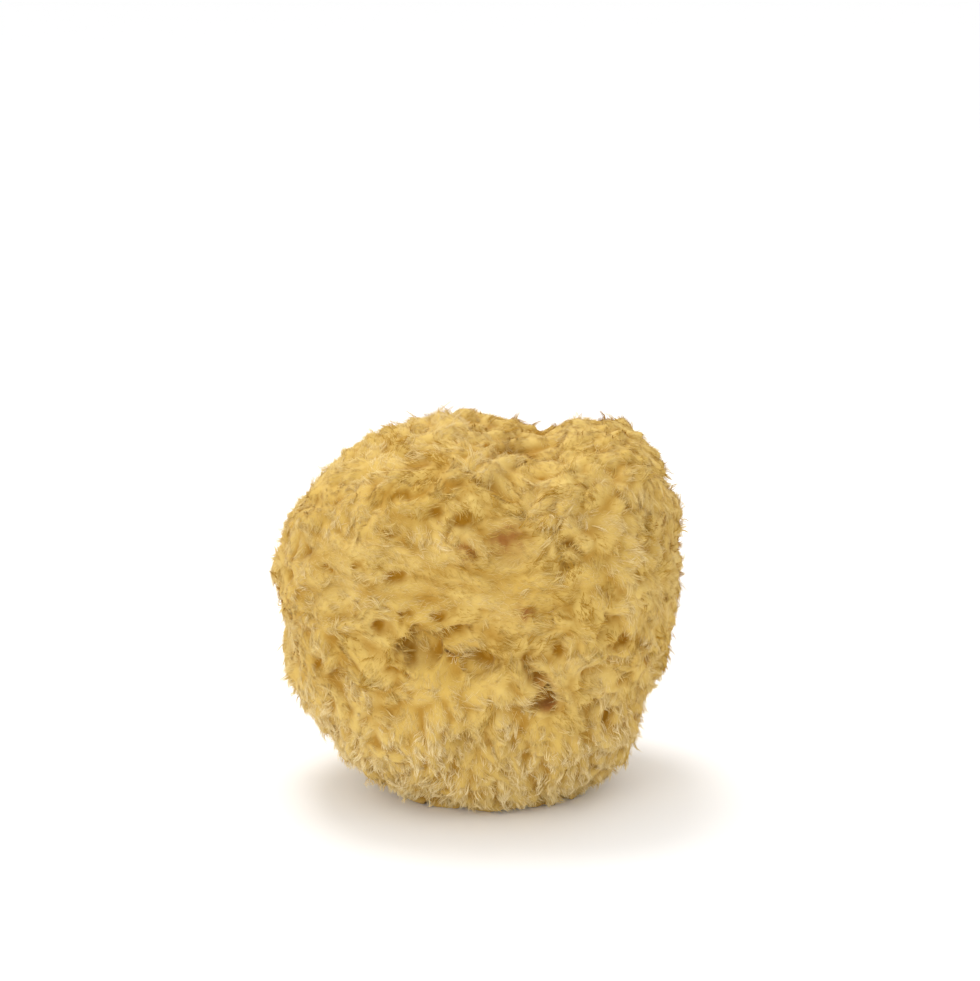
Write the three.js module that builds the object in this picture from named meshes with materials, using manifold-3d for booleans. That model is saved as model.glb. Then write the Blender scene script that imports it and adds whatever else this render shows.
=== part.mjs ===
// A natural bath sponge: one soft fibrous body, cut off flat where it grew on the rock.
// Millimetres, +Z up, front towards -Y. The origin is on the cut face, at the middle of the box.
import * as THREE from "three";
import { mergeVertices } from "three/addons/utils/BufferGeometryUtils.js";
import { ImprovedNoise } from "three/addons/math/ImprovedNoise.js";
import Module from "manifold-3d";

const spongeSize = new THREE.Vector3(84.5, 70, 78); // over the tips of the pile
const grownHeight = 84.5; // before the root is cut away
const rootTrim = 5.5; // what the cut takes off
const heartHeight = 43; // the point that the surface is measured from, above the root
const frontReach = 34; // heart to the front, and to the back
const backReach = 36;
const boxiness = 2.45; // 2 is an ellipsoid, more is squarer in the depth
const facetLevel = 18; // how often each edge of the icosahedron is divided
const spongeColour = 0xd0a957;

// Widest outline seen from the front: [x, z above the root], from the right side up and round.
const outline = [
  [41.4, 58], [36.8, 70.5], [32.5, 79.5], [22, 84], [13, 82], [3, 85], [-6, 84.8],
  [-14, 82.5], [-28, 76], [-38, 65.5], [-42.2, 52], [-40, 42], [-38.9, 31], [-31.6, 18],
  [-21.5, 8.5], [-10, 2.5], [4, 0], [21, 4], [31.6, 14], [35.4, 29], [40.2, 45],
];

// Broad swells first, then the knots of the pile: width across and rise.
const swells = [
  { across: 26, rise: 2.2, shift: 3.7 },
  { across: 12, rise: 1.5, shift: 11.3 },
  { across: 6.5, rise: 0.9, shift: 23.9 },
];

// The larger oscules on the front, the holes that water left by: place, radius and depth.
const frontOscules = [
  { x: -11.5, z: 44, radius: 3.4, depth: 2.6 },
  { x: -4, z: 46, radius: 2.8, depth: 2.0 },
  { x: -0.3, z: 41.5, radius: 2.8, depth: 2.2 },
  { x: 12.7, z: 33.5, radius: 3.0, depth: 2.6 },
  { x: 6.3, z: 64.5, radius: 4.2, depth: 2.0 },
  { x: 6, z: 78, radius: 4.2, depth: 2.2 },
  { x: 26, z: 47, radius: 3.2, depth: 2.2 },
  { x: 23.5, z: 28, radius: 3.4, depth: 2.4 },
  { x: -18.5, z: 48.5, radius: 3.0, depth: 2.0 },
  { x: -29, z: 54, radius: 2.8, depth: 1.8 },
  { x: -8, z: 70.5, radius: 3.2, depth: 1.8 },
];

// Smaller dimples all over, on a spiral from the top to the root.
const dimpleCount = 90;
const dimple = { radius: 3.1, depth: 1.5 };
const goldenAngle = Math.PI * (3 - Math.sqrt(5));

const noise = new ImprovedNoise();

// Distance from the heart to the outline, for an angle in the front plane.
function makeOutlineReach() {
  const points = outline.map(([x, z]) => new THREE.Vector3(x, 0, z - heartHeight));
  const curve = new THREE.CatmullRomCurve3(points, true, "centripetal");
  const samples = curve.getPoints(480).map((p) => ({
    angle: Math.atan2(p.z, p.x),
    reach: Math.hypot(p.x, p.z),
  }));
  samples.sort((a, b) => a.angle - b.angle);
  return (angle) => {
    let next = samples.findIndex((s) => s.angle > angle);
    if (next < 0) next = 0;
    const after = samples[next];
    const before = samples.at(next - 1);
    const turn = 2 * Math.PI;
    const gap = (after.angle - before.angle + turn) % turn;
    const part = ((angle - before.angle + turn) % turn) / gap;
    return THREE.MathUtils.lerp(before.reach, after.reach, part);
  };
}

// Rise of the swells at a point of the smooth body.
function swellRise(point) {
  let rise = 0;
  for (const { across, rise: top, shift } of swells) {
    const at = point.clone().divideScalar(across).addScalar(shift);
    rise += top * noise.noise(at.x, at.y, at.z);
  }
  return rise;
}

// Directions of the small dimples, evenly spread.
function dimpleDirections() {
  const directions = [];
  for (let i = 0; i < dimpleCount; i += 1) {
    const up = 1 - (2 * (i + 0.5)) / dimpleCount;
    const side = Math.sqrt(1 - up * up);
    const angle = i * goldenAngle;
    directions.push(new THREE.Vector3(side * Math.cos(angle), side * Math.sin(angle), up));
  }
  return directions;
}

const bell = (distance, radius) => Math.exp(-((distance / radius) ** 2));

// How far the oscules and dimples sink the surface at a point of the smooth body.
function sinkDepth(point, dimples) {
  let sink = 0;
  if (point.y < 0) {
    for (const { x, z, radius, depth } of frontOscules) {
      const away = Math.hypot(point.x - x, point.z + heartHeight - z);
      sink = Math.max(sink, depth * bell(away, radius));
    }
  }
  const direction = point.clone().normalize();
  for (const towards of dimples) {
    const away = direction.angleTo(towards) * point.length();
    sink = Math.max(sink, dimple.depth * bell(away, dimple.radius));
  }
  return sink;
}

// The grown sponge, whole, around its heart.
function grownBody() {
  const geometry = new THREE.IcosahedronGeometry(1, facetLevel);
  geometry.deleteAttribute("normal");
  geometry.deleteAttribute("uv");
  const body = mergeVertices(geometry, 1e-5);
  const outlineReach = makeOutlineReach();
  const dimples = dimpleDirections();
  const position = body.getAttribute("position");
  const point = new THREE.Vector3();
  for (let i = 0; i < position.count; i += 1) {
    point.fromBufferAttribute(position, i).normalize();
    const flat = Math.hypot(point.x, point.z) / outlineReach(Math.atan2(point.z, point.x));
    const deep = Math.abs(point.y) / (point.y < 0 ? frontReach : backReach);
    point.multiplyScalar((flat ** boxiness + deep ** boxiness) ** (-1 / boxiness));
    const reach = point.length() + swellRise(point) - sinkDepth(point, dimples);
    point.setLength(reach);
    position.setXYZ(i, point.x, point.y, point.z + heartHeight);
  }
  return body;
}

// Takes the root off with one flat cut.
function cutRoot(body, wasm) {
  const asSolid = (geometry) => new wasm.Manifold(new wasm.Mesh({
    numProp: 3,
    vertProperties: new Float32Array(geometry.getAttribute("position").array),
    triVerts: new Uint32Array(geometry.getIndex().array),
  }));
  const knife = new THREE.BoxGeometry(2 * spongeSize.x, 2 * spongeSize.x, grownHeight);
  knife.translate(0, 0, rootTrim - grownHeight / 2);
  knife.deleteAttribute("normal");
  knife.deleteAttribute("uv");
  const cut = asSolid(body).subtract(asSolid(mergeVertices(knife))).getMesh();
  const geometry = new THREE.BufferGeometry();
  geometry.setAttribute("position", new THREE.BufferAttribute(cut.vertProperties, 3));
  geometry.setIndex(new THREE.BufferAttribute(cut.triVerts, 1));
  return geometry;
}

// Brings the body to its stated size and stands its cut face on z = 0.
function settle(geometry) {
  geometry.computeBoundingBox();
  const box = geometry.boundingBox;
  const middle = box.getCenter(new THREE.Vector3());
  const grown = box.getSize(new THREE.Vector3());
  geometry.translate(-middle.x, -middle.y, -box.min.z);
  geometry.scale(
    spongeSize.x / grown.x,
    spongeSize.y / grown.y,
    spongeSize.z / grown.z,
  );
  geometry.computeVertexNormals();
  return geometry;
}

const wasm = await Module();
wasm.setup();

const sponge = new THREE.Mesh(
  settle(cutRoot(grownBody(), wasm)),
  new THREE.MeshStandardMaterial({ color: spongeColour, roughness: 0.95, metalness: 0 }),
);
sponge.name = "sea_sponge";

const group = new THREE.Group();
group.add(sponge);

export default group;
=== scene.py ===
import math

import bmesh
import bpy
import numpy as np
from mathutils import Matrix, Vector, kdtree, noise


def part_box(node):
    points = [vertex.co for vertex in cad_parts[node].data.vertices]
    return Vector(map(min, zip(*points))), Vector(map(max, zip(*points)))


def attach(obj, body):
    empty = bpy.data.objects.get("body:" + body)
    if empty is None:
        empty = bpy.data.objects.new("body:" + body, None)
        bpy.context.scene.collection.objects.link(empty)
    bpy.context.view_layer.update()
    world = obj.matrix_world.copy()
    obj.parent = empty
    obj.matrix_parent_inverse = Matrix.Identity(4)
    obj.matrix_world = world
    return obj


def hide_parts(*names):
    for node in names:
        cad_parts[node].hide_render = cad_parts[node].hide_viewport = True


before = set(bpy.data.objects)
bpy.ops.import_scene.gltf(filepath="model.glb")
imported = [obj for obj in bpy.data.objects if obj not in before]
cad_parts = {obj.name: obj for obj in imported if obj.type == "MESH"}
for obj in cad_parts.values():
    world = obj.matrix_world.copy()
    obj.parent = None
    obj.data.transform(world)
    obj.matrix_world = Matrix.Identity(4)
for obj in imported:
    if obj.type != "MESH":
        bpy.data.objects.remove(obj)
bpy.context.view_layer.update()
mm = 0.001
low, high = (np.array(corner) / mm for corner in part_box("sea_sponge"))
middle = (low + high) / 2  # everything about the sponge is worked out in millimetres
print("frame loaded, sponge", np.round(high - low, 1), "mm")


def tone(red, green, blue):  # a colour picked on screen, 0 to 255, as the shaders want it
    return tuple((channel / 255) ** 2.2 for channel in (red, green, blue)) + (1.0,)


def ease(value, start, end):  # 0 before start, 1 after end, smooth between
    part = np.clip((value - start) / (end - start), 0, 1)
    return part * part * (3 - 2 * part)


def unit(vectors):
    return vectors / np.maximum(np.linalg.norm(vectors, axis=-1, keepdims=True), 1e-9)


def alongSurface(vectors, normals):  # drops the part of each vector that leaves the surface
    return vectors - normals * (vectors * normals).sum(-1, keepdims=True)


def noiseVectors(points, width, shift=0):  # one smooth random vector for each point
    # the width is that of its waves in mm, and each use has its own shift
    return np.array([noise.noise_vector(Vector(point) / width) for point in points + shift])


def addObject(name, mesh):
    made = bpy.data.objects.new(name, mesh)
    bpy.context.scene.collection.objects.link(made)
    return made


def addToSponge(piece, material):
    piece.data.materials.clear()
    piece.data.materials.append(material)
    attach(piece, "root")
    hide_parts("sea_sponge")


class Wire:  # a socket of a material's tree that Python expressions can work with
    def __init__(self, tree, socket=None):
        self.tree = tree
        self.socket = socket

    def node(self, kind, settings=None, inputs=None, output=0):
        made = self.tree.nodes.new(kind)
        for name, value in (settings or {}).items():
            if name == "stops":
                for stop, (place, colour) in zip(addStops(made, len(value)), value):
                    stop.position = place
                    stop.color = colour
            else:
                setattr(made, name, value)
        for name, value in (inputs or {}).items():
            if isinstance(value, Wire):
                self.tree.links.new(value.socket, made.inputs[name])
            else:
                made.inputs[name].default_value = value
        return Wire(self.tree, made.outputs[output] if made.outputs else None)

    def maths(self, operation, *values):
        return self.node("ShaderNodeMath", {"operation": operation}, dict(enumerate(values)))

    def __add__(self, other):
        return self.maths("ADD", self, other)

    def __mul__(self, other):
        return self.maths("MULTIPLY", self, other)

    def __sub__(self, other):
        return self.maths("SUBTRACT", self, other)

    def __rsub__(self, other):
        return self.maths("SUBTRACT", other, self)

    __radd__ = __add__
    __rmul__ = __mul__

    def mix(self, first, second, factor):  # from one colour to another
        return self.node(
            "ShaderNodeMix", {"data_type": "RGBA"}, {0: factor, 6: first, 7: second}, output=2,
        )

    def clamp(self):
        return self.node("ShaderNodeClamp", {}, {"Value": self})


def addStops(ramp, count):
    stops = ramp.color_ramp.elements
    while len(stops) < count:
        stops.new(1)
    return stops


def startMaterial(name):
    material = bpy.data.materials.new(name)
    material.use_nodes = True
    material.node_tree.nodes.clear()
    return material, Wire(material.node_tree)


def finishMaterial(tree, shader):
    tree.node("ShaderNodeOutputMaterial", {}, {"Surface": shader})


view = {
    "lens": 103,
    "distance": 570,  # mm from the sponge's middle
    "elevation": 14,  # degrees above level
    "aimRight": 2.6,  # the sponge stands a little left of and below the centre
    "aimUp": 22.8,
}


def placeCamera():
    data = bpy.data.cameras.new("camera")
    data.lens = view["lens"]
    camera = addObject("camera", data)
    tilt = math.radians(view["elevation"])
    back = Vector((0, -math.cos(tilt), math.sin(tilt)))
    aim = Vector(middle) + Vector((view["aimRight"], 0, view["aimUp"]))
    camera.location = (aim + back * view["distance"]) * mm
    camera.rotation_euler = (-back).to_track_quat("-Z", "Y").to_euler()
    bpy.context.scene.camera = camera


studio = {
    "floorRadius": 4.0,  # metres
    "floorColour": (0.97, 0.97, 0.97, 1),
    "worldColour": (1.0, 1.0, 1.0, 1),
    "worldStrength": 1.03,
    "lamps": [  # name, place and width in metres, watts, colour
        ("overhead", (-0.12, 0.20, 0.67), 0.35, 1.9, (1.0, 0.99, 0.97)),
        ("front", (-0.62, -0.86, 0.42), 0.60, 2.5, (1.0, 0.99, 0.98)),
    ],
}


def makeStudio():
    bm = bmesh.new()
    bmesh.ops.create_circle(bm, cap_ends=True, segments=96, radius=studio["floorRadius"])
    mesh = bpy.data.meshes.new("floor")
    bm.to_mesh(mesh)
    bm.free()
    floor = addObject("floor", mesh)
    material, tree = startMaterial("pale_floor")
    finishMaterial(tree, tree.node("ShaderNodeBsdfPrincipled", {}, {
        "Base Color": studio["floorColour"], "Roughness": 0.8, "Specular IOR Level": 0.2,
    }))
    floor.data.materials.append(material)

    world = bpy.data.worlds.new("studio")
    world.use_nodes = True
    background = world.node_tree.nodes["Background"]
    background.inputs["Color"].default_value = studio["worldColour"]
    background.inputs["Strength"].default_value = studio["worldStrength"]
    bpy.context.scene.world = world
    bpy.context.scene.view_settings.view_transform = "Standard"

    for name, place, width, watts, colour in studio["lamps"]:
        data = bpy.data.lights.new(name, "AREA")
        data.shape = "DISK"
        data.size = width
        data.energy = watts
        data.color = colour
        lamp = addObject(name, data)
        lamp.location = place
        towards = Vector(middle) * mm - Vector(place)
        lamp.rotation_euler = towards.to_track_quat("-Z", "Y").to_euler()


placeCamera()
makeStudio()
print("camera, floor and lamps placed")


body = {
    "cell": 0.58,  # mm, size of the mesh's quads
    "inset": 2.0,  # how deep the fleece stands over the hollows between the tufts
    "swellWidth": 7.0,  # soft lumps that the tufts sit on
    "swellRise": 0.9,
    "grainWidth": 1.5,
    "grainRise": 0.22,
    "grainDetail": (0.7, 2.1, 3),  # how its waves fade and shrink, and how many there are
    "softening": 2,  # how often the finished surface is evened out
    "cutHeight": 0.12,  # level of the cut face
    "cutFacing": (0.55, 0.95),  # how squarely the cut faces down, at its rim and inside it
    "cutLevel": (-3.0, -0.8),  # the same for how far it lies below the base, minus is above
    "canalWidth": 2.6,  # the open canals that the cut goes through
    "canalEdge": (0.02, 0.3),
    "canalDepth": 1.6,
    "gapRise": (0.1, 1.3),  # mm over the hollows, all gap at the first and all tuft at the second
    "gapShade": 0.8,  # painted shade: how dark the gaps between tufts and the cut face are painted, where a pore is 1
    "cutShade": 0.3,
    "seed": 4,
}

lay = {  # which way the fleece lies, and what it is like from place to place
    "swirls": (14, 5.5),  # mm across the wide turns and the narrow ones
    "swirlPulls": (1.2, 1.1),
    "droop": 0.25,  # pull downwards, more at the foot and less in the combed band
    "footDroop": 0.7,
    "combedLift": 0.2,
    "footHeight": (14, 34),  # the curly fringe at the foot gives way between these heights
    "combedHeight": 50,  # the middle of the band that is combed sideways
    "combedWidth": 13,
    "combedFrom": (-22, -8),  # left of the middle, minus is right: where it begins and is full
    "combedPull": 1.2,
    "combedCalm": 0.6,  # how much of the swirls the band loses
    "plumpFrom": (12, 28),  # right of the middle, where the tufts turn plump
    "paleFrom": (20, 38),  # left of the middle, where the flank turns paler, partly its own tone and partly a painted pale wash of reflected light
    "frontFrom": (0.1, 0.6),  # how squarely a place faces the front
    "shagWidths": (10, 4),  # the shaggy places, and their ragged edges
    "shagEdge": 0.5,
    "shagFoot": 0.5,  # shaggier at the foot, smoother in the combed band
    "shagCombed": 0.3,
    "patchWidth": 12,  # the paler and deeper golden patches
    # the foot and the left flank are paler: partly the fleece's own tone, partly a painted pale wash of
    # reflected light
    "tint": {"usual": 0.5, "patch": 0.32, "foot": 0.32, "flank": 0.15},
}

tufts = {
    "gap": 3.3,  # mm between the middles of two tufts
    "count": 1500,
    "length": (2.4, 5.4),
    "width": (1.2, 2.7),
    "height": (1.0, 2.6),
    "change": {  # how much more in the combed band, on the plump side and at the foot
        "length": (0.7, -0.25, 0), "width": (0.2, 0.3, -0.3), "height": (-0.45, 0, 0),
    },
    "tintStray": 0.14,
    "crest": 0.3,  # how far along its length a tuft is highest
    "back": 1.1,  # a long back and a short brow
    "brow": 0.5,
    "reach": 2.4,  # lengths from its middle to where a tuft has died out
    "lean": 0.45,  # how far a tuft's crest hangs over
}

pores = {
    "gap": 7.0,  # mm between the small pores
    "count": 100,
    "radius": (0.9, 2.7),
    "depth": (0.7, 3.0),
    "frontTrim": 0.6,  # how much smaller they are on the front, among the oscules
    "squash": 1.7,  # how much lower than wide a pore is
    "stretch": 1.25,
    "bays": ((2.8, 1.5), (1.2, 0.9)),  # width and strength of the bays in a rim
    "rim": 1.8,  # a higher power makes a flatter floor and a sharper rim
    "reach": 4,  # radii from its middle to where a pore has died out
}

# The larger oscules on the front: right of the middle, above the base, radius and depth.
frontOscules = [
    (-12.6, 38.5, 2.9, 4.0), (-7.8, 36.8, 2.2, 3.0), (-4.2, 41.4, 2.0, 3.0), (0.2, 35.8, 1.8, 3.2),
    (26.0, 41.8, 1.9, 2.0), (28.5, 38.3, 1.4, 1.6), (23.0, 24.5, 1.6, 2.0),
    (25.8, 21.0, 1.6, 1.8), (6.5, 73.5, 2.3, 1.6), (-7.8, 64.8, 1.4, 1.2),
    (-2.9, 63.2, 1.6, 1.2), (-14.9, 67.5, 1.4, 1.2), (-22.7, 53.4, 1.4, 1.4),
    (-16.2, 51.8, 1.5, 1.4), (-15.5, 45.2, 1.6, 2.0), (-7.4, 44.8, 1.5, 1.8),
    (-31.7, 52.6, 1.5, 1.5), (-26.6, 44.8, 1.4, 1.5), (-19.2, 42.2, 1.2, 1.6),
    (-15.5, 32.8, 1.3, 1.8), (10.0, 37.0, 1.2, 1.4), (26.6, 34.0, 1.3, 1.5),
    (29.4, 30.0, 1.3, 1.5), (19.2, 12.0, 1.4, 1.4), (-3.5, 18.8, 1.3, 1.4),
    (-27.0, 30.0, 1.4, 1.5),
]

# A narrow cleft on the front, a row of small pores that run together.
cleft = {"top": (11.4, 33.5), "bottom": (14.8, 25.0), "pores": 7, "radius": 1.0, "depth": 3.0}

rust = {
    "patches": [  # on the front: right of the middle, above the base, radius
        (6.3, 59.2, 3.2), (-2.0, 57.6, 2.4), (12.9, 29.5, 1.8), (14.4, 26.0, 1.6), (9.0, 46.0, 1.8),
    ],
    "strength": 0.85,
    "mottle": 1.2,
    "mottleWidth": 1.6,
}


def scatter(points, gap, count, draw):  # picks points at random that keep a gap between them
    picked = []
    places = np.empty((count, 3))
    for index in draw.permutation(len(points)):
        taken = len(picked)
        if taken >= count:
            break
        if taken and ((places[:taken] - points[index]) ** 2).sum(1).min() < gap * gap:
            continue
        places[taken] = points[index]
        picked.append(index)
    return np.array(picked)


def pointTree(points):
    tree = kdtree.KDTree(len(points))
    for index, point in enumerate(points):
        tree.insert(point, index)
    tree.balance()
    return tree


def coarseBody():  # the frame's solid as an even mesh
    bm = bmesh.new()
    bm.from_mesh(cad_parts["sea_sponge"].data)
    bmesh.ops.remove_doubles(bm, verts=bm.verts, dist=0.001 * mm)
    mesh = bpy.data.meshes.new("sponge_body")
    bm.to_mesh(mesh)
    bm.free()
    piece = addObject("sponge_body", mesh)
    remesh = piece.modifiers.new("even_mesh", "REMESH")
    remesh.mode = "VOXEL"
    remesh.voxel_size = body["cell"] * mm
    evaluated = piece.evaluated_get(bpy.context.evaluated_depsgraph_get())
    piece.data = bpy.data.meshes.new_from_object(evaluated)
    piece.modifiers.clear()
    return piece


def readMesh(mesh):
    points = np.empty(len(mesh.vertices) * 3)
    normals = np.empty(len(mesh.vertices) * 3)
    mesh.vertices.foreach_get("co", points)
    mesh.vertices.foreach_get("normal", normals)
    return points.reshape(-1, 3) / mm, normals.reshape(-1, 3)


def swirlFlow(points):  # the wide and narrow turns that the fleece lies in
    (wide, narrow), (widePull, narrowPull) = lay["swirls"], lay["swirlPulls"]
    return noiseVectors(points, wide) * widePull + noiseVectors(points, narrow, 50) * narrowPull


def layFleece(points, normals):  # which way the fleece lies at each point, and its other habits
    height = points[:, 2]
    front = ease(-normals[:, 1], *lay["frontFrom"])
    foot = 1 - ease(height, *lay["footHeight"])
    combed = np.exp(-((height - lay["combedHeight"]) / lay["combedWidth"]) ** 2) * front
    combed = combed * ease(-points[:, 0], *lay["combedFrom"])
    around = np.cross([0, 0, 1], normals)
    flow = swirlFlow(points) * (1 - lay["combedCalm"] * combed)[:, None]
    flow += around * (combed * lay["combedPull"])[:, None]
    flow[:, 2] -= lay["droop"] + lay["footDroop"] * foot - lay["combedLift"] * combed
    shagWidth, edgeWidth = lay["shagWidths"]
    shaggy = noiseVectors(points, shagWidth, 120)[:, 0]
    shaggy += noiseVectors(points, edgeWidth, 140)[:, 0] * lay["shagEdge"]
    tint = lay["tint"]["usual"] + lay["tint"]["patch"] * noiseVectors(points, lay["patchWidth"], 90)[:, 1]
    flank = ease(-points[:, 0], *lay["paleFrom"])
    return {
        "lie": unit(alongSurface(flow, normals)),
        "combed": combed,
        "plump": ease(points[:, 0], *lay["plumpFrom"]) * front,
        "foot": foot,
        "shaggy": shaggy + lay["shagFoot"] * foot - lay["shagCombed"] * combed,
        "tint": tint + lay["tint"]["foot"] * foot + lay["tint"]["flank"] * flank,
    }


def plantTufts(points, normals, habit, draw):
    at = scatter(points, tufts["gap"], tufts["count"], draw)
    shares = [habit[name][at] for name in ("combed", "plump", "foot")]

    def grow(name):  # a random size, changed by what the fleece is like there
        changes = (change * share for change, share in zip(tufts["change"][name], shares))
        return draw.uniform(*tufts[name], len(at)) * sum(changes, 1)

    return {
        "centre": points[at],
        "lie": habit["lie"][at],
        "across": np.cross(normals[at], habit["lie"][at]),
        "length": grow("length"),
        "width": grow("width"),
        "height": grow("height"),
        "tint": habit["tint"][at] + draw.normal(0, tufts["tintStray"], len(at)),
        "foot": habit["foot"][at],
    }


def raiseTufts(points, tuft, tree):  # height over the hollows, and the tuft each point is on
    rise = np.zeros(len(points))
    owner = np.zeros(len(points), int)
    for index, centre in enumerate(tuft["centre"]):
        length = tuft["length"][index]
        near = np.array([hit[1] for hit in tree.find_range(centre, tufts["reach"] * length)])
        away = points[near] - centre
        along = away @ tuft["lie"][index] / length - tufts["crest"]
        aside = away @ tuft["across"][index] / tuft["width"][index]
        steep = np.where(along < 0, tufts["back"], tufts["brow"])
        top = tuft["height"][index] * np.exp(-(along / steep) ** 2 - aside ** 2)
        higher = top > rise[near]
        rise[near[higher]] = top[higher]
        owner[near[higher]] = index
    return rise, owner


def onFront(points, normals, right, above):  # the point of the front at a place seen from there
    aside = (points[:, 0] - middle[0] - right) ** 2 + (points[:, 2] - above) ** 2
    facesFront = normals[:, 1] < -0.15
    return points[np.argmin(np.where(facesFront, aside, np.inf))]


def placeHoles(points, normals, draw):  # middle, radius and depth of every oscule and pore
    row = np.linspace(cleft["top"], cleft["bottom"], cleft["pores"])
    placed = frontOscules + [(*place, cleft["radius"], cleft["depth"]) for place in row]
    holes = [(onFront(points, normals, right, above), radius, depth)
             for right, above, radius, depth in placed]
    for index in scatter(points, pores["gap"], pores["count"], draw):
        front = ease(-normals[index, 1], 0, 0.5)
        size = draw.random() ** 2 * (1 - pores["frontTrim"] * front)  # most of them are small
        radius, depth = (np.interp(size, (0, 1), pores[name]) for name in ("radius", "depth"))
        holes.append((points[index], radius, depth))
    return holes


def sinkPores(points, normals, tree, draw):  # depth of the oscules and pores, and how hollow, 0 to 1, which also sets their painted shade
    (wide, strong), (narrow, weak) = pores["bays"]
    ragged = noiseVectors(points, wide)[:, 0] * strong + noiseVectors(points, narrow, 30)[:, 0] * weak
    sink = np.zeros(len(points))
    hollow = np.zeros(len(points))
    for place, radius, depth in placeHoles(points, normals, draw):
        near = np.array([hit[1] for hit in tree.find_range(place, pores["reach"] * radius)])
        offset = points[near] - place
        offset[:, 2] *= pores["squash"]
        away = np.linalg.norm(offset, axis=1) / (radius * pores["stretch"])
        fall = np.exp(-np.maximum(0, away + ragged[near]) ** pores["rim"])
        sink[near] = np.maximum(sink[near], depth * fall)
        hollow[near] = np.maximum(hollow[near], fall)
    return sink, hollow


def rustOn(points, normals):
    stained = np.zeros(len(points))
    for right, above, radius in rust["patches"]:
        away = np.linalg.norm(points - onFront(points, normals, right, above), axis=1)
        stained = np.maximum(stained, np.exp(-(away / radius) ** 2))
    mottle = rust["mottle"] * noiseVectors(points, rust["mottleWidth"], 15)[:, 0]
    return np.clip(stained * (rust["strength"] + mottle), 0, 1)


def grainOn(points):  # fine roughness over the soft lumps
    grain = [noise.fractal(Vector(point) / body["grainWidth"], *body["grainDetail"]) for point in points]
    swell = noiseVectors(points, body["swellWidth"], 70)[:, 2]
    return np.array(grain) * body["grainRise"] + swell * body["swellRise"]


def findCut(points, normals):  # where the cut face and the canals in it are, 0 to 1
    onCut = ease(-normals[:, 2], *body["cutFacing"]) * ease(-points[:, 2], *body["cutLevel"])
    canals = ease(noiseVectors(points, body["canalWidth"], 200)[:, 0], *body["canalEdge"])
    return onCut, onCut * canals


def soften(mesh):  # evens the surface out and lays the cut face flat
    bm = bmesh.new()
    bm.from_mesh(mesh)
    for _ in range(body["softening"]):
        bmesh.ops.smooth_vert(
            bm, verts=bm.verts, factor=0.5, use_axis_x=True, use_axis_y=True, use_axis_z=True,
        )
    for vert in bm.verts:
        vert.co.z = max(vert.co.z, body["cutHeight"] * mm)
    bm.to_mesh(mesh)
    bm.free()


def makeBody():
    draw = np.random.default_rng(body["seed"])
    noise.seed_set(body["seed"])
    piece = coarseBody()
    points, normals = readMesh(piece.data)
    tree = pointTree(points)
    habit = layFleece(points, normals)
    tuft = plantTufts(points, normals, habit, draw)
    rise, owner = raiseTufts(points, tuft, tree)
    sink, pore = sinkPores(points, normals, tree, draw)
    onCut, canals = findCut(points, normals)
    above = (rise - body["inset"] + grainOn(points)) * (1 - onCut) - sink - canals * body["canalDepth"]
    over = tuft["lie"][owner] * (rise * tufts["lean"] * (1 - onCut) * (1 - pore))[:, None]
    moved = points + normals * above[:, None] + over
    piece.data.vertices.foreach_set("co", (moved * mm).ravel())
    soften(piece.data)
    # painted shade: darkest in the pores and canals, less dark in the gaps between tufts and on the cut
    # face
    paintedGapShade = body["gapShade"] * (1 - ease(rise, *body["gapRise"])) * (1 - onCut)
    shade = paintedGapShade + body["cutShade"] * onCut
    hollow = np.clip(np.maximum(pore, shade) + canals, 0, 1)
    stained = rustOn(points, normals)
    for name, values in (("hollow", hollow), ("rust", stained)):
        piece.data.attributes.new(name, "FLOAT", "POINT").data.foreach_set("value", values)
    piece.data.update()
    piece.data.shade_smooth()
    moved, facing = readMesh(piece.data)
    return piece, {  # what the fleece is grown on
        "points": moved, "normals": facing, "hollow": hollow, "pore": pore, "rise": rise,
        "rust": stained, "shaggy": habit["shaggy"], "covered": np.flatnonzero(onCut < 0.5),
        "owner": owner, "aside": ((points - tuft["centre"][owner]) * tuft["across"][owner]).sum(1),
        "tuft": tuft,
    }


def bodyMaterial():
    look = {
        "gold": tone(200, 163, 78),
        "straw": tone(216, 187, 113),
        # the painted shade colour for the pores, canals, gaps and cut face
        "shadeAmber": tone(160, 114, 30),
        "rust": tone(152, 102, 50),
        "patchContrast": 1.6,
        "patchDarkening": 0.3,
        "strandContrast": 0.4,
        "paintedShadeStrength": 1.05,
        "grainBump": 0.6,
    }
    material, tree = startMaterial("matted_fibre")
    place = tree.node("ShaderNodeTexCoord", output="Object")
    patches = tree.node("ShaderNodeTexNoise", {}, {
        "Vector": place, "Scale": 70, "Detail": 3, "Roughness": 0.55,
    })
    strands = tree.node("ShaderNodeTexNoise", {}, {
        "Vector": place, "Scale": 1500, "Detail": 3, "Roughness": 0.6, "Distortion": 0.8,
    })
    hollow = tree.node("ShaderNodeAttribute", {"attribute_name": "hollow"}, output="Fac")
    stained = tree.node("ShaderNodeAttribute", {"attribute_name": "rust"}, output="Fac")
    blend = patches * look["patchContrast"] - look["patchDarkening"]
    blend = (blend + (strands - 0.5) * look["strandContrast"]).clamp()
    surface = tree.mix(look["gold"], look["straw"], blend)
    # painted shade: amber in the pores, canals, gaps between tufts and on the cut face
    colour = tree.mix(surface, look["shadeAmber"], (hollow * look["paintedShadeStrength"]).clamp())
    colour = tree.mix(colour, look["rust"], stained)
    bump = tree.node("ShaderNodeBump", {}, {
        "Strength": look["grainBump"], "Distance": 0.25 * mm, "Height": strands,
    })
    finishMaterial(tree, tree.node("ShaderNodeBsdfPrincipled", {}, {
        "Base Color": colour, "Normal": bump, "Roughness": 0.92,
        "Specular IOR Level": 0.15, "Sheen Weight": 0.1, "Sheen Roughness": 0.5,
    }))
    return material


bodyPiece, ground = makeBody()
addToSponge(bodyPiece, bodyMaterial())
print("body made,", len(bodyPiece.data.polygons), "quads,", len(ground["tuft"]["centre"]), "tufts")


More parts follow.
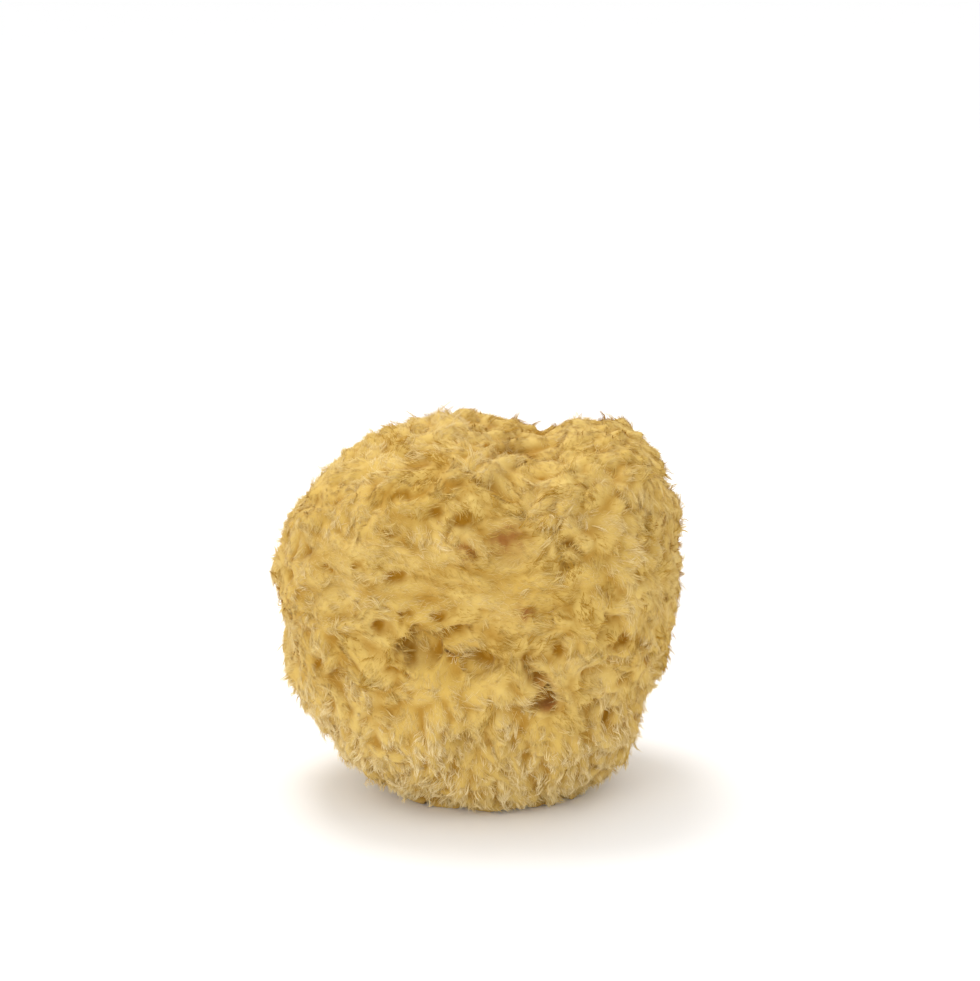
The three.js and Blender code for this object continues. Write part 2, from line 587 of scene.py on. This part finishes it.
fleece = {
    "seed": 11,
    "flatness": 0.33,  # a strand's thickness beside its width
    "taper": 1.7,  # a higher power keeps a strand wide for longer
    "fan": 0.012,  # how much the tint differs round a strand
    "floorGap": 0.2,  # mm, lowest that a strand's middle line goes, and its surface
    "lowest": 0.05,
    "tintRange": (0.15, 0.97),  # what is below it is kept for the rusty strands
    "rustPull": 0.9,
    # stand lifts a fibre off the surface, draw leans it to its tuft's middle, stray is at random
    "down": {  # short straight fibres, combed along the tufts
        "count": 92000, "length": (1.1, 2.5), "width": 0.16, "widths": (0.7, 1.3), "stray": 0.38,
        "stand": (0.02, 0.38), "draw": 0.35,
        "shift": 0.2,  # how far a root is moved aside, and how deep it is sunk
        "sunk": 0.12,
        "poreTrim": 0.35,  # how much shorter inside a pore
        "tintStray": 0.1,
        "paintedShadeTint": 0.5,  # painted shade: how much of the tint is lost low down in the hollows
    },
    "wisps": {  # longer bent fibres that share one tip
        "count": 3500, "gap": 1.2, "perWisp": 7, "length": (1.7, 4.0),
        "width": 0.16, "widths": (0.7, 1.25), "stray": 0.25, "stand": (0.02, 0.5), "draw": 0.4,
        "shaggyFrom": -0.1,  # they grow where the fleece is shaggier than this
        "shaggyStray": 0.2,
        "poreLimit": 0.7,  # and keep out of the pores and the gaps between tufts
        "leastRise": 0.3,
        "spread": 0.6,  # from a wisp's middle to its outermost root, more along it than across
        "oblong": 1.6,
        "gather": 0.3,  # the share of that spread that is left at the tip
        "share": (0.75, 1.1),  # how far a fibre goes towards the shared tip
        "curl": 0.45, "crimp": 0.16, "crimps": (0.6, 1.3), "bends": 2,
        "bow": (0.05, 0.3, 0.5),  # from its length, from its stand and against its curl
        "tipStray": 0.16, "middleStray": 0.1,
        "rootShift": 0.05,  # how far a root is moved aside, and how deep it is sunk
        "sunk": 0.3,
        "tint": -0.12, "tintStray": 0.12, "fibreTintStray": 0.04,
        "footTint": 0.34,  # how the fringe at the foot differs
        "foot": {"stand": 0.9, "length": -0.3, "curl": -0.3, "width": 0.4, "crimp": 0.8},
    },
}


def strandTemplate(bends):  # a spike with three sides, 1 long, closed at its root
    bm = bmesh.new()
    bmesh.ops.create_cone(bm, cap_ends=True, segments=3, radius1=1, radius2=0, depth=1)
    bmesh.ops.translate(bm, verts=bm.verts, vec=(0, 0, 0.5))
    for bend in range(bends):
        bmesh.ops.bisect_plane(
            bm, geom=bm.verts[:] + bm.edges[:] + bm.faces[:],
            plane_co=(0, 0, (bend + 1) / (bends + 1)), plane_no=(0, 0, 1),
        )
    bmesh.ops.remove_doubles(bm, verts=bm.verts, dist=0.001)
    bmesh.ops.triangulate(bm, faces=bm.faces)
    bmesh.ops.recalc_face_normals(bm, faces=bm.faces)
    points = np.array([vert.co for vert in bm.verts])
    corners = np.array([[vert.index for vert in face.verts] for face in bm.faces])
    bm.free()
    return points, corners


def bendSpikes(template, strands):  # the points of every strand, a spike bent from root to tip
    for end in ("root", "middle", "tip"):
        lowest = fleece["floorGap"] + 0.1 * strands["width"]
        strands[end][:, 2] = np.maximum(strands[end][:, 2], lowest)
    start, bend, tip = (strands[end][:, None] for end in ("root", "middle", "tip"))
    along = template[:, 2][None, :, None]
    line = (1 - along) ** 2 * start + 2 * along * (1 - along) * bend + along ** 2 * tip
    heading = unit((1 - along) * (bend - start) + along * (tip - bend))
    side = unit(np.cross(heading, strands["normal"][:, None] + 0.01))
    up = np.cross(side, heading)
    line = line + side * np.sin(2 * math.pi * along) * strands["crimp"][:, None, None]
    around = spikeSides(template)
    taper = (1 - template[:, 2] ** fleece["taper"]) * 0.5
    reach = (strands["width"][:, None] * taper[None])[..., None]
    points = line + reach * (around[None, :, :1] * side + around[None, :, 1:] * up)
    points[..., 2] = np.maximum(points[..., 2], fleece["lowest"])
    return points


def spikeSides(template):  # which side of the spike each of its points is on, none at the tip
    return unit(template[:, :2]) * (template[:, 2:] < 0.999) * (1, fleece["flatness"])


def makeStrands(name, strands, bends):
    template, corners = strandTemplate(bends)
    points = bendSpikes(template, strands)
    faces = corners[None] + np.arange(len(points))[:, None, None] * len(template)
    mesh = bpy.data.meshes.new(name)
    mesh.from_pydata(points.reshape(-1, 3) * mm, [], faces.reshape(-1, 3))
    # u runs along each strand, v holds its tint
    tints = strands["tint"][:, None] + (spikeSides(template)[:, 0] * fleece["fan"])[None]
    strandUv = np.stack(np.broadcast_arrays(template[:, 2][None], tints), -1)
    mesh.uv_layers.new(name="OFBake").data.foreach_set("uv", strandUv[:, corners].reshape(-1))
    return addObject(name, mesh)


def headingAt(at, gather, stray):  # along the tuft that each point is on, and towards its tip
    tuft, mine = ground["tuft"], ground["owner"][at]
    aside = ground["aside"][at] / tuft["width"][mine]
    heading = tuft["lie"][mine] - tuft["across"][mine] * (gather * aside)[:, None] + stray
    return unit(alongSurface(heading, ground["normals"][at]))


def stain(tint, stained):
    return np.clip(tint, *fleece["tintRange"]) * (1 - fleece["rustPull"] * stained)


def growDown(look, draw):
    total = look["count"]
    at = draw.choice(ground["covered"], total)
    normals = ground["normals"][at]
    jitter = draw.normal(0, 1, (total, 3))
    heading = headingAt(at, look["draw"], jitter * look["stray"])
    stand = draw.uniform(*look["stand"], total)
    heading = unit(heading + normals * stand[:, None])
    length = draw.uniform(*look["length"], total) * (1 - look["poreTrim"] * ground["pore"][at])
    roots = ground["points"][at] + alongSurface(np.roll(jitter, 1, 1) * look["shift"], normals)
    tips = roots + heading * length[:, None]
    roots = roots - normals * look["sunk"]
    width = look["width"] * draw.uniform(*look["widths"], total)
    tint = ground["tuft"]["tint"][ground["owner"][at]] + draw.normal(0, look["tintStray"], total)
    # painted shade: fibres low in the hollows are darker
    tint -= look["paintedShadeTint"] * ground["hollow"][at]
    return {
        "root": roots, "middle": (roots + tips) / 2, "tip": tips, "normal": normals,
        "width": width, "crimp": np.zeros(total), "tint": stain(tint, ground["rust"][at]),
    }


def pickWisps(look, draw):  # the points that wisps grow round, clear of the pores and the cut
    clear = (ground["pore"] < look["poreLimit"]) & (ground["rise"] > look["leastRise"])
    clear &= ground["shaggy"] > draw.normal(look["shaggyFrom"], look["shaggyStray"], len(clear))
    free = np.intersect1d(np.flatnonzero(clear), ground["covered"])
    return free[scatter(ground["points"][free], look["gap"], look["count"], draw)]


def growWisps(look, draw):
    points, normals, tuft = ground["points"], ground["normals"], ground["tuft"]
    centres = pickWisps(look, draw)
    mine = ground["owner"][centres]
    total = len(centres)
    heading = headingAt(centres, look["draw"], draw.normal(0, look["stray"], (total, 3)))
    across = np.cross(normals[centres], heading)
    share = tuft["foot"][mine]
    foot = {name: 1 + change * share for name, change in look["foot"].items()}
    stand = draw.uniform(*look["stand"], total) * foot["stand"]
    length = draw.uniform(*look["length"], total) * foot["length"]
    reach = unit(heading + normals[centres] * stand[:, None]) * length[:, None]
    turn = (draw.normal(0, 1, total) * look["curl"] * foot["curl"] * length)[:, None]
    tip = points[centres] + reach + across * turn
    lengthBow, standBow, curlBow = look["bow"]
    lift = length * (lengthBow + standBow * stand)
    bend = across * -turn * curlBow + normals[centres] * lift[:, None]

    wisp = np.repeat(np.arange(total), look["perWisp"])
    count = len(wisp)
    away = look["spread"] * np.sqrt(draw.random(count))
    angle = draw.uniform(0, 2 * math.pi, count)
    offset = (heading[wisp] * (away * np.cos(angle) * look["oblong"])[:, None]
              + across[wisp] * (away * np.sin(angle))[:, None])
    nearest = pointTree(points)
    at = np.array([nearest.find(spot)[1] for spot in points[centres][wisp] + offset])
    roots = points[at] + offset * look["rootShift"]
    part = draw.uniform(*look["share"], count)[:, None]
    tips = roots + (tip[wisp] + offset * look["gather"] - roots) * part
    tips += draw.normal(0, look["tipStray"], (count, 3))
    middles = (roots + tips) / 2 + bend[wisp] + offset * look["gather"] / 2
    middles += draw.normal(0, look["middleStray"], (count, 3))
    width = look["width"] * draw.uniform(*look["widths"], count) * foot["width"][wisp]
    crimp = draw.normal(0, look["crimp"], total)[wisp] * draw.uniform(*look["crimps"], count)
    tint = tuft["tint"][mine] + look["tint"] + look["footTint"] * share
    tint = (tint + draw.normal(0, look["tintStray"], total))[wisp]
    tint = tint + draw.normal(0, look["fibreTintStray"], count)
    return {
        "root": roots - normals[at] * look["sunk"], "middle": middles, "tip": tips,
        "normal": normals[at], "width": width, "crimp": crimp * foot["crimp"][wisp],
        "tint": stain(tint, ground["rust"][at]),
    }


def fleeceMaterial():
    look = {
        "golden": [  # root to tip, darker at the root: partly the fibre's own tone, partly painted shade deep in the fleece
            (0.0, tone(186, 148, 66)), (0.4, tone(205, 173, 95)), (1.0, tone(221, 195, 121)),
        ],
        # root to tip as well, with the same painted shade at the root
        "cream": [
            (0.0, tone(202, 170, 104)), (0.4, tone(226, 203, 146)), (1.0, tone(245, 230, 189)),
        ],
        "shadeAmber": tone(172, 128, 42),  # painted shade low in the hollows
        "rust": tone(162, 112, 56),
        "creamRise": 1.43,  # how fast the colour changes with the tint, and what is taken off
        "creamStart": 0.43,
        "goldenRise": 5,
        "goldenStart": 0.6,
        "amberRise": 8,
    }
    material, tree = startMaterial("fleece_fibre")
    strand = tree.node("ShaderNodeUVMap", {"uv_map": "OFBake"})
    along = tree.node("ShaderNodeSeparateXYZ", {}, {"Vector": strand}, output="X")
    tint = tree.node("ShaderNodeSeparateXYZ", {}, {"Vector": strand}, output="Y")
    golden = tree.node("ShaderNodeValToRGB", {"stops": look["golden"]}, {"Fac": along})
    cream = tree.node("ShaderNodeValToRGB", {"stops": look["cream"]}, {"Fac": along})
    wool = tree.mix(golden, cream, (tint * look["creamRise"] - look["creamStart"]).clamp())
    # rust for the stained strands, painted shade amber for the strands low in the hollows
    low = tree.mix(look["rust"], look["shadeAmber"], (tint * look["amberRise"]).clamp())
    colour = tree.mix(low, wool, (tint * look["goldenRise"] - look["goldenStart"]).clamp())
    finishMaterial(tree, tree.node("ShaderNodeBsdfPrincipled", {}, {
        "Base Color": colour, "Roughness": 0.9, "Specular IOR Level": 0.1,
    }))
    return material


def makeFleece():
    draw = np.random.default_rng(fleece["seed"])
    material = fleeceMaterial()
    coats = {
        "down": (growDown(fleece["down"], draw), 0),
        "wisps": (growWisps(fleece["wisps"], draw), fleece["wisps"]["bends"]),
    }
    for kind, (strands, bends) in coats.items():
        heights = strands["root"][:, 2]
        upper = heights > np.median(heights)
        for part, chosen in (("upper", upper), ("lower", ~upper)):
            half = {name: values[chosen] for name, values in strands.items()}
            piece = makeStrands(f"{kind}_{part}", half, bends)
            addToSponge(piece, material)
            print(piece.name, int(chosen.sum()), "strands,", len(piece.data.polygons), "faces")


makeFleece()
